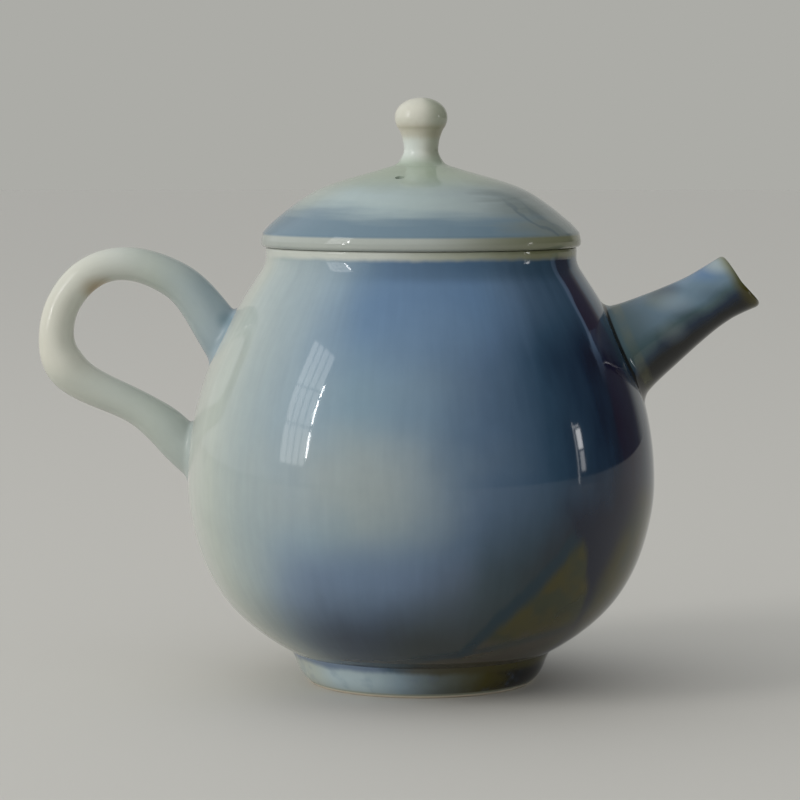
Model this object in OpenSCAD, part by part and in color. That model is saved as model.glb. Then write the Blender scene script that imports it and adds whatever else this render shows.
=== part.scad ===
// Hand-thrown porcelain teapot: round body on a turned foot, loop handle, short
// tapered spout with a drawn-out pouring lip over a pierced strainer, and a domed
// lid with a ball knob. Millimetres, +Z up. The pot stands on z = 0 with its axis
// on Z, the spout points to +X and the handle to -X.

/* [Pot] */

// Outside diameter of the belly at its widest
belly_d = 120.4; // [104:0.2:136]
// Height of the pot's rim, without the lid
rim_z = 112.2; // [104:0.2:124]
// Wall thickness of the thrown body
wall = 4; // [3:0.5:5]
// Height of the neck collar above the shoulder
collar_h = 6.2; // [5:0.2:9]
// How far the shoulder spreads where it runs into the neck
neck_flare = 1.3; // [0.8:0.1:2]
// Thickness of the pot's floor
base_t = 4.8; // [4:0.2:7]

/* [Foot] */

// Diameter of the foot where it touches the table
foot_d = 57.8; // [50:0.2:64]
// Diameter of the foot where it meets the body
foot_top_d = 67.4; // [62:0.2:72]
// Height of the foot ring at its outside
foot_h = 8.3; // [7:0.1:12]
// Width of the unglazed ring that touches the table
foot_land = 2.4; // [2:0.1:4]

/* [Handle] */

// How far the handle stands out from the pot's axis
handle_reach = 98.5; // [92:0.5:110]
// How far below the pot's rim the upper root leaves the wall
handle_drop = 22.6; // [18:0.1:28]
// Height from the lower root to the upper one
handle_span = 33.5; // [28:0.1:40]
// Thickness of the handle at its thinnest
handle_t = 8.6; // [7:0.2:11]
// Width of the handle across the pot, as a multiple of its thickness
handle_oval = 1.12; // [1:0.01:1.4]

/* [Spout] */

// How far below the pot's rim the middle of the spout leaves the wall
spout_drop = 27.1; // [22:0.1:32]
// Length of the spout from the body's wall to its mouth
spout_l = 35; // [30:0.5:42]
// Outside diameter of the spout at its mouth
spout_tip_d = 15; // [13:0.2:18]
// Outside diameter of the spout where it leaves the body
spout_root_d = 23.2; // [20:0.2:27]
// Angle of the spout above the horizontal
spout_angle = 32.3; // [25:0.1:40]
// Wall thickness of the spout
spout_wall = 2.4; // [2:0.1:3.2]
// How deep the spout's root is let into the wall
spout_seat = 1.1; // [0.5:0.1:2]
// How far the lower lip is drawn out into a beak
lip_out = 1.5; // [0:0.1:3]

/* [Strainer] */

// Rings of holes round the middle hole of the strainer
strainer_rings = 2; // [1:1:2]
// Diameter of each strainer hole
strainer_hole_d = 2.6; // [2:0.1:2.8]
// Clay left between the outer holes and the strainer's edge
strainer_edge = 0.6; // [0.4:0.1:1.2]

/* [Lid] */

// Outside diameter of the lid at its rim
lid_d = 82.1; // [76:0.1:88]
// How far the lid's rim stands out beyond the neck
lid_overhang = 1.15; // [0:0.05:2]
// Height of the lid's dome above its rim, without the knob
dome_h = 20; // [16:0.5:26]
// Thickness of the lid
lid_t = 3.6; // [3:0.2:4.6]
// How deep the lid's collar reaches into the neck
flange_h = 9; // [6:0.5:12]
// Thickness of the lid's collar
flange_t = 3.2; // [2.6:0.1:4]
// Play of the lid's collar inside the neck, all round
flange_play = 0.9; // [0.5:0.1:1.5]
// Gap between the lid and the pot's rim, which the glaze keeps
lid_gap = 0.25; // [0.2:0.05:0.5]
// Diameter of the steam hole
vent_d = 2.5; // [2:0.1:4]
// How far the steam hole is from the knob's axis
vent_out = 17.2; // [14:0.2:22]
// Angle from the front of the lid round to the steam hole, towards the handle
vent_turn = 18; // [0:1:90]

/* [Knob] */

// Diameter of the knob's ball
knob_d = 13.6; // [12:0.1:16]
// Diameter of the knob's stem at its waist
stem_d = 8.9; // [7:0.1:10]
// How far the stem spreads on to the dome
stem_flare = 4.4; // [3:0.1:6]
// Height of the knob above the dome
knob_h = 18; // [16:0.2:21]

/* [Colours] */

// Cobalt-tinted glaze of the body
glaze_blue = [0.42, 0.50, 0.66];
// Cream glaze of the neck and the knob
glaze_cream = [0.88, 0.87, 0.82];
// Pale blue glaze of the lid and the spout
glaze_pale = [0.66, 0.73, 0.80];

/* [Hidden] */

$fn = 96;
curve_steps = 5;      // points that a curve gets between two of its stations
ring_sides = 28;      // sides of a lofted section
loft_steps = 5;       // rings that a loft gets between two of its stations

belly_r = belly_d / 2;
neck_r = lid_d / 2 - lid_overhang;
mouth_r = neck_r - wall;                // inside of the neck
collar_z = rim_z - collar_h;            // where the neck collar starts
edge_r = 0.9;                           // rounding of the neck's rim
throat_h = 2.2;                         // over which the neck opens into the belly
base_drop = 2;                          // how far the base reaches into the foot
base_z = foot_h - base_drop;            // underside of the pot inside the foot
floor_z = base_z + base_t;              // top of the pot's floor, at its edge
floor_dip = 0.6;                        // how much lower the floor's middle is
foot_in_r = foot_d / 2 - foot_land;     // inside of the foot at the table
foot_lean = 1.2;                        // how far the foot's inside leans in
foot_in_top_r = foot_in_r - foot_lean;  // inside of the foot at the base
lid_r = lid_d / 2;
lid_z = rim_z + lid_gap;                // underside of the lid's rim
lid_top_z = lid_z + dome_h;             // where the knob starts
knob_foot_r = stem_d / 2 + stem_flare;  // where the knob runs into the dome
flange_r = mouth_r - flange_play;       // outside of the lid's collar

// ---- curves ---------------------------------------------------------------

function blend(a, b, t) = a + (b - a) * t;

// one point of a curve that passes through b and c, with a and d beside them
function through(a, b, c, d, t) =
    0.5 * (2 * b + (c - a) * t + (2 * a - 5 * b + 4 * c - d) * t * t
           + (3 * b - a - 3 * c + d) * t * t * t);

// a smooth curve through every station in turn
function smooth(p, steps) = let (last = len(p) - 1) concat(
    [for (i = [0 : last - 1], k = [0 : steps - 1])
        through(p[max(i - 1, 0)], p[i], p[i + 1], p[min(i + 2, last)], k / steps)],
    [p[last]]);

function reversed(p) = [for (i = [len(p) - 1 : -1 : 0]) p[i]];

// the direction of a plane curve at its point i, as a unit vector
function along(p, i) = let (
    d = p[min(i + 1, len(p) - 1)] - p[max(i - 1, 0)]) d / norm(d);

// the curve moved sideways by d, to its left
function inset(p, d) = [for (i = [0 : len(p) - 1]) let (t = along(p, i))
    p[i] + d * [-t[1], t[0]]];

// part of a circle of radius r about c, from angle a to angle b
function corner(c, r, a, b) = [for (k = [0 : 4])
    let (t = blend(a, b, k / 4)) c + r * [cos(t), sin(t)]];

// ---- the pot's outline -----------------------------------------------------

// belly from the foot to the collar: radius as a share of the belly's, and
// height as a share of the way from the foot's top to the collar
belly_shape = [[0.692, 0.050], [0.834, 0.131], [0.935, 0.239], [0.990, 0.367],
               [1.000, 0.462], [0.983, 0.583], [0.931, 0.714], [0.850, 0.828],
               [0.760, 0.929]];

belly_outer = smooth(concat(
    [[foot_top_d / 2, foot_h]],
    [for (s = belly_shape) [belly_r * s[0], blend(foot_h, collar_z, s[1])]],
    [[neck_r + neck_flare, collar_z]]), curve_steps);

// the inside starts clear of the foot's corner and ends under the collar
belly_inner = [for (p = inset(belly_outer, wall))
    if (p[1] > floor_z && p[1] < collar_z - throat_h) p];

// radius of the pot's skin at a height, and how far it leans back there
function wall_at(z) = lookup(z, [for (p = belly_outer) [p[1], p[0]]]);
function wall_lean(z) = atan((wall_at(z - wall) - wall_at(z + wall)) / (2 * wall));

module thrown_wall() {
    rotate_extrude() polygon(concat(
        [[0, base_z], [foot_in_top_r, base_z]], belly_outer,
        [[mouth_r, collar_z], [mouth_r + 0.2 * throat_h, collar_z - 0.5 * throat_h]],
        reversed(belly_inner),
        [[foot_in_r - wall, floor_z], [0, floor_z - floor_dip]]));
}

// everything inside the pot's skin, to trim what is luted on to it
module pot_filled() {
    rotate_extrude() polygon(concat([[0, base_z]], belly_outer, [[0, collar_z]]));
}

// ---- lofted shapes ----------------------------------------------------------

// the triangles between ring i and ring j, each of n points
function skin(i, j, n) = [for (k = [0 : n - 1], h = [0, 1])
    let (a = i * n + k, b = i * n + (k + 1) % n, c = j * n + k, d = j * n + (k + 1) % n)
    h == 0 ? [a, c, b] : [b, c, d]];

// a solid rod through rings that all have the same number of points
module rod(rings) {
    n = len(rings[0]);
    last = len(rings) - 1;
    polyhedron(
        points = [for (r = rings, p = r) p],
        faces = concat(
            [[for (k = [0 : n - 1]) k]],
            [for (i = [0 : last - 1], f = skin(i, i + 1, n)) f],
            [[for (k = [n - 1 : -1 : 0]) last * n + k]]),
        convexity = 6);
}

// a tube whose rings run up the outside, over the lip and down the inside
module tube(rings) {
    n = len(rings[0]);
    count = len(rings);
    polyhedron(
        points = [for (r = rings, p = r) p],
        faces = [for (i = [0 : count - 1], f = skin(i, (i + 1) % count, n)) f],
        convexity = 8);
}

// an oval ring square to a path in the XZ plane
function ring(centre, dir, t, w) = [for (k = [0 : ring_sides - 1])
    let (a = 360 * k / ring_sides)
    [centre[0] - dir[1] * cos(a) * t / 2, sin(a) * w / 2,
     centre[1] + dir[0] * cos(a) * t / 2]];

// ---- handle ------------------------------------------------------------------

// from the upper root round to the lower one: how far out, from the wall at the
// upper root (0) to the middle of the outermost run (1); how high, from the lower
// root (0) to the upper one (1); and how thick, as a multiple of the thinnest part
handle_path = [
    [-0.082, 0.857, 1.68], [0.022, 1.028, 1.45], [0.165, 1.286, 1.24],
    [0.297, 1.430, 1.12], [0.501, 1.534, 1.02], [0.696, 1.531, 0.98],
    [0.858, 1.413, 1.01], [0.973, 1.196, 1.01], [1.001, 0.948, 1.07],
    [0.947, 0.754, 1.24], [0.812, 0.613, 1.11], [0.537, 0.452, 1.02],
    [0.358, 0.295, 1.22], [0.250, 0.157, 1.30], [0.082, 0.000, 1.52]];
outermost = 8;        // which of them stands out furthest

handle_top_z = rim_z - handle_drop;
handle_low_z = handle_top_z - handle_span;
handle_root_x = wall_at(handle_top_z);
handle_mid_x = handle_reach - handle_t * handle_path[outermost][2] / 2;

handle_line = smooth([for (s = handle_path)
    [-blend(handle_root_x, handle_mid_x, s[0]),
     blend(handle_low_z, handle_top_z, s[1]), handle_t * s[2]]], loft_steps);

// ---- spout -------------------------------------------------------------------

// along the spout from inside the wall to the mouth: how far, as a share of its
// length, and how wide, from the tip's diameter (0) to the root's (1)
spout_shape = [[-0.16, 1.95], [-0.06, 1.80], [-0.01, 1.56], [0.03, 1.25],
               [0.08, 1.05], [0.16, 0.84], [0.30, 0.60], [0.50, 0.28],
               [0.68, 0.06], [0.82, 0.01], [0.90, 0.00]];

spout_z = rim_z - spout_drop;
spout_root = [wall_at(spout_z) - spout_seat, spout_z];
root_lean = spout_angle - wall_lean(spout_z);   // of the wall, from square to the spout
spout_dir = [cos(spout_angle), sin(spout_angle)];
spout_line = [for (s = smooth(spout_shape, loft_steps))
    [s[0] * spout_l, blend(spout_tip_d, spout_root_d, s[1]) / 2]];
bore_d = spout_root_d - 2 * spout_wall;         // inside of the spout at its root
lip_start = 0.80 * spout_l;                     // where the lower lip turns out

// one ring of the spout: at the root it leans with the wall, and near the mouth
// its lower side is drawn out into a beak
function spout_ring(s, r) = [for (k = [0 : ring_sides - 1])
    let (a = 360 * k / ring_sides, low = pow(max(0, -cos(a)), 1.3),
         near = max(0, s - lip_start) / (spout_l - lip_start),
         pull = lip_out * low * pow(near, 1.5),
         lean = r * tan(root_lean) * pow(1 - max(0, s) / spout_l, 3),
         d = s + pull + cos(a) * lean, e = r + 0.8 * pull)
    [spout_root[0] + spout_dir[0] * d - spout_dir[1] * e * cos(a), e * sin(a),
     spout_root[1] + spout_dir[1] * d + spout_dir[0] * e * cos(a)]];

// a pin of diameter d through the wall, square to the spout and off its axis by out
module spout_pin(d, out = 0, turn = 0) {
    translate([spout_root[0], 0, spout_root[1]]) rotate([0, 90 - spout_angle, 0])
        rotate([0, 0, turn]) translate([out, 0, -3 * wall])
            cylinder(d = d, h = 6 * wall);
}

// ---- sub-parts ---------------------------------------------------------------

module pot_body() {
    color(glaze_blue) difference() {
        thrown_wall();
        spout_pin(bore_d);
    }
}

// a pierced piece of the wall behind the spout, its holes in rings of six and twelve
module strainer() {
    pitch = (bore_d / 2 - strainer_edge - strainer_hole_d / 2) / strainer_rings;
    color(glaze_cream) difference() {
        intersection() {
            thrown_wall();
            spout_pin(bore_d);
        }
        for (ring = [0 : strainer_rings], k = [0 : max(6 * ring - 1, 0)])
            spout_pin(strainer_hole_d, ring * pitch, ring == 0 ? 0 : 60 * k / ring);
    }
}

module neck_collar() {
    bulge = 0.05;                         // how little the collar swells at its ends
    color(glaze_cream) rotate_extrude() polygon(concat(
        [[mouth_r, collar_z]],
        smooth([[neck_r + neck_flare, collar_z],
                [neck_r + 0.35 * neck_flare, collar_z + 0.26 * collar_h],
                [neck_r + bulge, collar_z + 0.48 * collar_h],
                [neck_r, rim_z - 0.35 * collar_h],
                [neck_r + bulge, rim_z - edge_r]], curve_steps),
        corner([neck_r + bulge - edge_r, rim_z - edge_r], edge_r, 18, 90),
        corner([mouth_r + edge_r, rim_z - edge_r], edge_r, 90, 180)));
}

module foot_ring() {
    toe = 0.5;                            // rounding beside the unglazed ring
    // from the table (0) to the body (1): how far out, and how high
    swell = [[0.36, 0.234], [0.61, 0.488], [0.76, 0.742], [1, 1]];
    color(glaze_blue) rotate_extrude() polygon(concat(
        [[foot_in_top_r, base_z], [foot_in_r, toe], [foot_in_r + toe, 0],
         [foot_d / 2 - toe, 0]],
        smooth(concat([[foot_d / 2, toe / 2]],
            [for (s = swell) [blend(foot_d, foot_top_d, s[0]) / 2, foot_h * s[1]]]),
            curve_steps)));
}

module handle() {
    path = [for (p = handle_line) [p[0], p[1]]];
    color(glaze_cream) difference() {
        rod([for (i = [0 : len(path) - 1])
            ring(path[i], along(path, i), handle_line[i][2],
                 handle_line[i][2] * handle_oval)]);
        pot_filled();
    }
}

module spout() {
    lip_r = spout_wall / 2;               // the mouth's edge is fully rounded
    lip = corner([spout_l - lip_r, spout_tip_d / 2 - lip_r], lip_r, 90, -90);
    color(glaze_pale) difference() {
        tube(concat(
            [for (s = spout_line) spout_ring(s[0], s[1])],
            [for (p = lip) spout_ring(p[0], p[1])],
            [for (s = reversed(spout_line)) spout_ring(s[0], s[1] - spout_wall)]));
        pot_filled();
    }
}

// the lid's dome up to the knob: radius as a share of the lid's, height as a share
// of the dome's
dome_shape = [[0.989, 0.178], [0.943, 0.283], [0.885, 0.383], [0.825, 0.483],
              [0.755, 0.588], [0.675, 0.693], [0.566, 0.793], [0.406, 0.893]];
dome = smooth(concat(
    [for (s = dome_shape) [lid_r * s[0], lid_z + dome_h * s[1]]],
    [[knob_foot_r, lid_top_z]]), curve_steps);

module lid() {
    rim_r = 1.5;                          // rounding of the lid's rim
    hollow = [for (p = inset(dome, lid_t)) if (p[0] < flange_r - flange_t) p];
    color(glaze_pale) difference() {
        rotate_extrude() polygon(concat(
            [[flange_r - flange_t, lid_z]],
            corner([lid_r - rim_r, lid_z + rim_r], rim_r, -90, 20), dome,
            [[0, lid_top_z], [0, lid_top_z - lid_t]], reversed(hollow)));
        rotate(-90 - vent_turn) translate([vent_out, 0, lid_z])
            cylinder(d = vent_d, h = dome_h * 1.5);
    }
}

module lid_flange() {
    soft = 0.8;                           // rounding of the collar's lower edge
    low = lid_z - flange_h + soft;
    color(glaze_cream) rotate_extrude() polygon(concat(
        [[flange_r, lid_z], [flange_r - flange_t, lid_z]],
        corner([flange_r - flange_t + soft, low], soft, 180, 270),
        corner([flange_r - soft, low], soft, 270, 360)));
}

module knob() {
    // how far out of the stem, as a share of its flare, and how high, as a share
    // of the knob's height
    stem = [[1, 0], [0.61, 0.028], [0.295, 0.083], [0.034, 0.2], [0, 0.289],
            [0.091, 0.422], [0.273, 0.539]];
    // how far out, and how far from the middle of the ball, as shares of its size
    ball = [[0.46, -0.145], [0.50, 0], [0.46, 0.155], [0.36, 0.27], [0.20, 0.355],
            [0, 0.40]];
    ball_z = lid_top_z + knob_h - knob_d * 0.40;
    color(glaze_cream) rotate_extrude() polygon(concat(
        [[0, lid_top_z]],
        smooth(concat(
            [for (s = stem) [stem_d / 2 + stem_flare * s[0], lid_top_z + knob_h * s[1]]],
            [for (s = ball) [knob_d * s[0], ball_z + knob_d * s[1]]]), curve_steps)));
}

pot_body();
neck_collar();
foot_ring();
strainer();
spout();
handle();
lid();
lid_flange();
knob();
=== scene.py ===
"""Looks of the porcelain teapot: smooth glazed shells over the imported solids.

Lengths are in millimetres up to where a mesh or a node takes them in metres. The pot
stands on z = 0 with its axis on Z, its spout to +X and its handle to -X.
"""

import math
from functools import reduce

import bmesh
import bpy
from mathutils import Matrix, Vector


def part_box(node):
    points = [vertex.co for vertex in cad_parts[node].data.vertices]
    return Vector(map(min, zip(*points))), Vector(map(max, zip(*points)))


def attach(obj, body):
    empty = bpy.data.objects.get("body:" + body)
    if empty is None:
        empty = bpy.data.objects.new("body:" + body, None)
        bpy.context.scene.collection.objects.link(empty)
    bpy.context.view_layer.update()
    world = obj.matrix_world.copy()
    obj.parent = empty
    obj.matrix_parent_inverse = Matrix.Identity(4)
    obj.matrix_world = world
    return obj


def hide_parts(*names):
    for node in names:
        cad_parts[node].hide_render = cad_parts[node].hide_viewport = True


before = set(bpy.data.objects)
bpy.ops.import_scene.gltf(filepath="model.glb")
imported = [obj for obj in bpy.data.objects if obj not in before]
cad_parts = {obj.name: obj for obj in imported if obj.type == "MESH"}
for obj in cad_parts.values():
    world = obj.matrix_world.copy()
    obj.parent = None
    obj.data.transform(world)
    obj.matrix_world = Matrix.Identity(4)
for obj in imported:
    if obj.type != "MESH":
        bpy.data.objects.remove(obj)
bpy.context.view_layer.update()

MM = 0.001


def box_mm(node):
    """Lowest and highest corner of a CAD node, in millimetres."""
    low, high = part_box(node)
    return [v / MM for v in low], [v / MM for v in high]


# ---- sizes that the frame's solids show ----

POT_LOW, POT_HIGH = box_mm("pot_body")
NECK_HIGH = box_mm("neck_collar")[1]
FOOT_HIGH = box_mm("foot_ring")[1]
LID_LOW, LID_HIGH = box_mm("lid")
FLANGE_LOW, FLANGE_HIGH = box_mm("lid_flange")
KNOB_LOW, KNOB_HIGH = box_mm("knob")

BELLY_R = POT_HIGH[1]
BASE_Z = POT_LOW[2]
COLLAR_Z = POT_HIGH[2]
RIM_Z = NECK_HIGH[2]
NECK_FLARE = 1.3      # how far the neck runs out to meet the pot
NECK_R = NECK_HIGH[1] - NECK_FLARE
FOOT_H = FOOT_HIGH[2]
FOOT_TOP_R = FOOT_HIGH[1]
LID_R = LID_HIGH[1]
LID_Z = LID_LOW[2]
DOME_H = LID_HIGH[2] - LID_Z
FLANGE_R = FLANGE_HIGH[1]
HANDLE_REACH = -box_mm("handle")[0][0]

# ---- sizes that their boxes don't show ----

WALL = 4.0
BASE_T = 4.8
MOUTH_R = NECK_R - WALL
NECK_BULGE = 0.05     # how little the neck swells at its ends
FOOT_R = 28.9
FOOT_LAND = 2.4       # width of the ring that stands on the table
FOOT_TAPER = 1.2      # how much the recess in the foot narrows upwards
LID_T = 3.6
FLANGE_T = 3.2
KNOB_R = 6.8
STEM_R = 4.45
HANDLE_T = 8.6
HANDLE_OVAL = 1.12    # how much wider it is than thick
HANDLE_DROP = 22.6
HANDLE_SPAN = 33.5
SPOUT_L = 35.0
SPOUT_TIP_R = 7.5
SPOUT_ROOT_R = 11.6
SPOUT_WALL = 2.4
SPOUT_ANGLE = math.radians(32.3)
SPOUT_DROP = 27.1
SPOUT_SEAT = 1.1
LIP_OUT = 1.44        # a hair less than the solid's, so that the lip stays inside it
LIP_START = 0.80      # how far along the spout its lower lip starts to draw out
STRAINER_RINGS = 2
HOLE_R = 1.3
HOLE_EDGE = 0.6
VENT_R = 1.25
VENT_OUT = 17.2
VENT_TURN = 18        # degrees from the front, towards the handle

SIDES = 240           # of a turned piece
SHARP = 35            # degrees from which the edge between two faces stays sharp
TURNED_SHARP = 50     # the same on pieces with small rounded edges


# ---- curves ----


def mix(a, b, t):
    return a + (b - a) * t


def through(a, b, c, d, t):
    """A point between b and c of a curve through them, with a and d beside them."""
    return 0.5 * (2 * b + (c - a) * t + (2 * a - 5 * b + 4 * c - d) * t * t
                  + (3 * b - a - 3 * c + d) * t ** 3)


def smooth(stations, steps, passes):
    """A smooth curve with that many steps from each station to the next, evened out in
    that many passes so that its bend has no jumps."""
    last = len(stations) - 1
    curve = []
    for i in range(last):
        corners = [stations[max(i - 1, 0)], stations[i], stations[i + 1],
                   stations[min(i + 2, last)]]
        for k in range(steps):
            curve.append([through(*axis, k / steps) for axis in zip(*corners)])
    curve.append(list(stations[last]))
    for _ in range(passes * steps):
        inner = [[(a + 2 * b + c) / 4 for a, b, c in zip(*three)]
                 for three in zip(curve, curve[1:], curve[2:])]
        curve = [curve[0], *inner, curve[-1]]
    return curve


def smooth_to_axis(stations, steps, passes):
    """A smooth curve whose last station is on the axis, which it meets squarely."""
    beyond = [(-r, z) for r, z in reversed(stations[:-1])]
    return smooth(stations + beyond, steps, passes)[: (len(stations) - 1) * steps + 1]


def arc(centre, radius, start, stop, steps=8):
    """Points of an arc, with its angles in degrees."""
    angles = [math.radians(mix(start, stop, k / steps)) for k in range(steps + 1)]
    return [[centre[0] + radius * math.cos(a), centre[1] + radius * math.sin(a)]
            for a in angles]


def direction(points, i):
    """The unit direction of a plane curve at its point i."""
    a = points[max(i - 1, 0)]
    b = points[min(i + 1, len(points) - 1)]
    length = math.hypot(b[0] - a[0], b[1] - a[1])
    return (b[0] - a[0]) / length, (b[1] - a[1]) / length


def inset(points, distance):
    """The curve moved to its left."""
    moved = []
    for i, p in enumerate(points):
        dx, dz = direction(points, i)
        moved.append([p[0] - distance * dz, p[1] + distance * dx])
    return moved


# ---- the pot's skin ----

# share of the belly's radius, and of the way from the foot's top to the collar
BELLY_SHAPE = [(0.692, 0.050), (0.834, 0.131), (0.935, 0.239), (0.990, 0.367),
               (1.000, 0.462), (0.983, 0.583), (0.931, 0.714), (0.850, 0.828),
               (0.760, 0.929)]


def pot_curve():
    """The skin of the thrown pot in one run, from the foot's top to the neck's rim, as
    pairs of a radius and a height."""
    stations = [(FOOT_TOP_R, FOOT_H)]
    stations += [(BELLY_R * r, mix(FOOT_H, COLLAR_Z, h)) for r, h in BELLY_SHAPE]
    stations += [(NECK_R + NECK_FLARE, COLLAR_Z), (NECK_R + 0.45, COLLAR_Z + 1.6),
                 (NECK_R + NECK_BULGE, COLLAR_Z + 3.0), (NECK_R, RIM_Z - 2.2),
                 (NECK_R + NECK_BULGE, RIM_Z - 0.9)]
    return smooth(stations, 12, 3)


POT_CURVE = pot_curve()


def pot_radius(z):
    """Radius of the pot's skin at a height."""
    for (r0, z0), (r1, z1) in zip(POT_CURVE, POT_CURVE[1:]):
        if z0 <= z <= z1:
            return mix(r0, r1, (z - z0) / (z1 - z0))
    return POT_CURVE[0][0] if z < POT_CURVE[0][1] else POT_CURVE[-1][0]


def skin_slope(z):
    """How much the pot's radius grows over a millimetre of height."""
    return pot_radius(z + 0.5) - pot_radius(z - 0.5)


def pot_normal(x, y, z):
    """Outward direction of the pot's skin nearest a point."""
    return Vector((x, y, -skin_slope(z) * math.hypot(x, y))).normalized()


def off_pot(x, y, z):
    """How far a point lies outside the pot's skin."""
    return (math.hypot(x, y) - pot_radius(z)) / math.hypot(1, skin_slope(z))


def split(curve, height):
    """The curve's parts below and above a height, both with the point on it."""
    for i, (a, b) in enumerate(zip(curve, curve[1:])):
        if a[1] <= height <= b[1]:
            cut = [mix(a[0], b[0], (height - a[1]) / (b[1] - a[1])), height]
            return curve[: i + 1] + [cut], [cut] + curve[i + 1:]
    raise ValueError("the height is outside the curve")


BELLY_CURVE, COLLAR_CURVE = split(POT_CURVE, COLLAR_Z)


def pot_lean(z):
    """How far the pot's skin leans back at a height, as an angle."""
    return math.atan((pot_radius(z - WALL) - pot_radius(z + WALL)) / (2 * WALL))


SPOUT_Z = RIM_Z - SPOUT_DROP
SPOUT_ROOT = (pot_radius(SPOUT_Z) - SPOUT_SEAT, SPOUT_Z)
SPOUT_LEAN = SPOUT_ANGLE - pot_lean(SPOUT_Z)
HANDLE_TOP_Z = RIM_Z - HANDLE_DROP
HANDLE_LOW_Z = HANDLE_TOP_Z - HANDLE_SPAN


# ---- meshes ----


def placed(name, data):
    """A new object in the scene."""
    made = bpy.data.objects.new(name, data)
    bpy.context.scene.collection.objects.link(made)
    return made


def shade(mesh, sharp):
    """Smooth shading, except over edges sharper than that many degrees."""
    mesh.shade_smooth()
    mesh.set_sharp_from_angle(angle=math.radians(sharp))


def piece(name, points, faces, materials, body, nodes, sharp=SHARP):
    """A smooth closed mesh from points in millimetres. It rides on a body, and shows
    in place of the CAD nodes."""
    mesh = bpy.data.meshes.new(name)
    mesh.from_pydata([[v * MM for v in p] for p in points], [], faces)
    for material in materials:
        mesh.materials.append(material)
    bm = bmesh.new()
    bm.from_mesh(mesh)
    bmesh.ops.recalc_face_normals(bm, faces=bm.faces)
    bm.to_mesh(mesh)
    bm.free()
    shade(mesh, sharp)
    made = placed(name, mesh)
    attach(made, body)
    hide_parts(*nodes)
    return made


def revolve(outline, sides=SIDES):
    """Points and faces of an outline turned about Z. The outline is a loop of pairs of
    a radius and a height, or runs from the axis to the axis."""
    points, rows = [], []
    on_axis = 1e-6
    for r, z in outline:
        if r < on_axis:
            rows.append([len(points)] * sides)
            points.append((0.0, 0.0, z))
            continue
        rows.append(list(range(len(points), len(points) + sides)))
        for k in range(sides):
            a = 2 * math.pi * k / sides
            points.append((r * math.cos(a), r * math.sin(a), z))
    pairs = list(zip(rows, rows[1:]))
    if outline[0][0] > on_axis:
        pairs.append((rows[-1], rows[0]))
    faces = []
    for low, high in pairs:
        for k in range(sides):
            n = (k + 1) % sides
            corners = [low[k], low[n], high[n], high[k]]
            faces.append(tuple(dict.fromkeys(corners)))
    return points, faces


def lofted(rings, loop):
    """Points and faces through rings of equal length, as a loop of rings or with caps."""
    count = len(rings[0])
    points = [p for ring in rings for p in ring]
    pairs = [(i, i + 1) for i in range(len(rings) - 1)]
    faces = []
    if loop:
        pairs.append((len(rings) - 1, 0))
    else:
        faces.append(tuple(range(count)))
        faces.append(tuple(range((len(rings) - 1) * count, len(rings) * count)))
    for a, b in pairs:
        for k in range(count):
            n = (k + 1) % count
            faces.append((a * count + k, b * count + k, b * count + n, a * count + n))
    return points, faces


def pierce(made, drills, sharp=SHARP):
    """Cuts the drills out of a piece, once and for all."""
    for drill in drills:
        cut = made.modifiers.new("cut", "BOOLEAN")
        cut.operation = "DIFFERENCE"
        cut.solver = "EXACT"
        cut.object = drill
    bpy.context.view_layer.update()
    evaluated = made.evaluated_get(bpy.context.evaluated_depsgraph_get())
    mesh = bpy.data.meshes.new_from_object(evaluated)
    made.modifiers.clear()
    made.data = mesh
    shade(mesh, sharp)
    for drill in drills:
        bpy.data.objects.remove(drill)


def drill_bit(radius, centre, axis, length):
    """A round bit to cut with, from sizes in millimetres."""
    mesh = bpy.data.meshes.new("bit")
    bm = bmesh.new()
    turn = Vector((0, 0, 1)).rotation_difference(Vector(axis)).to_matrix().to_4x4()
    bmesh.ops.create_cone(bm, cap_ends=True, segments=32, radius1=radius * MM,
                          radius2=radius * MM, depth=length * MM,
                          matrix=Matrix.Translation(Vector(centre) * MM) @ turn)
    bm.to_mesh(mesh)
    bm.free()
    return placed("bit", mesh)


def mark(made, name, values):
    """Keeps one number per point, which the material reads with stored()."""
    made.data.attributes.new(name, "FLOAT", "POINT").data.foreach_set("value", values)


# ---- colours (as seen, 0 to 255) ----


def seen(red, green, blue):
    """A linear colour from the values that a screen shows."""
    def linear(v):
        v /= 255
        return v / 12.92 if v <= 0.04045 else ((v + 0.055) / 1.055) ** 2.4
    return linear(red), linear(green), linear(blue), 1.0


CREAM = seen(190, 193, 184)
MILK = seen(170, 177, 168)
MIST = seen(150, 162, 162)
PALE_BLUE = seen(135, 153, 163)
GREY_BLUE = seen(117, 141, 155)
SLATE_BLUE = seen(108, 131, 149)
COBALT = seen(82, 104, 128)
DEEP_BLUE = seen(47, 72, 94)
INK_BLUE = seen(20, 40, 62)
NAVY = seen(12, 20, 42)
SKY_BLUE = seen(84, 114, 148)
VIOLET = seen(96, 114, 141)
DUSK = seen(42, 50, 62)
PLUM = seen(34, 18, 42)
OLIVE = seen(68, 63, 18)
TEAL = seen(74, 110, 120)
DARK_TEAL = seen(16, 48, 62)
SAND = seen(156, 161, 154)
IVORY = seen(201, 199, 185)
ICE = seen(156, 169, 166)
ASH = seen(116, 126, 124)
STEEL_BLUE = seen(97, 120, 135)
STONE = seen(154, 158, 140)
RIM_CREAM = seen(161, 166, 159)
FROST = seen(168, 184, 188)
CELADON = seen(154, 166, 148)
MOSS = seen(108, 110, 82)
PEAT = seen(74, 68, 54)
PEWTER = seen(96, 104, 102)
# bluish white of a painted highlight on the knob
PAINTED_HIGHLIGHT = seen(206, 216, 213)
# olive-grey of the painted reflections low on the spout's side
MIRE = seen(54, 58, 34)
SOOT = seen(14, 16, 14)
TEAL_GREY = seen(70, 91, 96)
OCHRE = seen(150, 120, 70)
BARE_CLAY = seen(218, 208, 190)


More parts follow.
